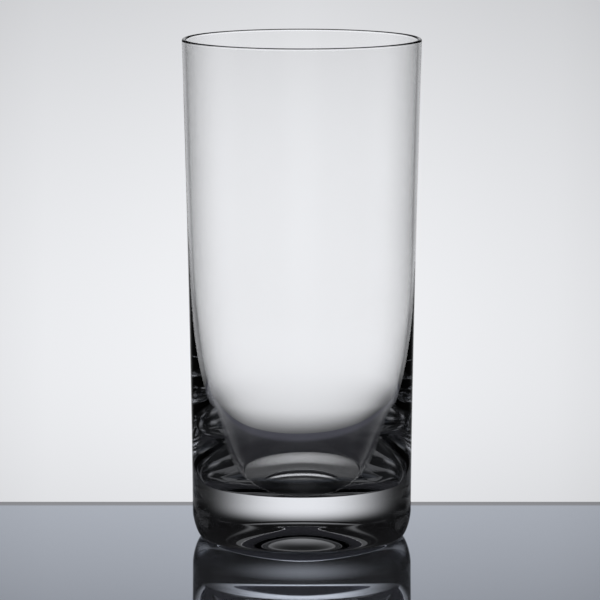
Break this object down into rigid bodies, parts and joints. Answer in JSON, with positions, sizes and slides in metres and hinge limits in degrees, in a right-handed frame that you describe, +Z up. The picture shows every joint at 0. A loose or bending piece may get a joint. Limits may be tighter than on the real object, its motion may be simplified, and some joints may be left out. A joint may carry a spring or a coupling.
{
  "type": "highball glass",
  "caption": "Tall, straight-sided drinking glass of clear glass, widening slightly to a thin rounded lip, with a rounded bowl bottom and a heavy solid base.",
  "frame": {"origin": "middle of the foot, on the surface the glass stands on", "axes": "+Z up along the glass's axis, towards the open lip; X and Y are alike, because the glass is round"},
  "size_m": [0.0716, 0.0716, 0.15],
  "materials": {
    "clear_glass": "clear, colourless, fire-polished"
  },
  "bodies": {
    "root": {"highball_glass": "clear_glass"}
  },
  "joints": []
}
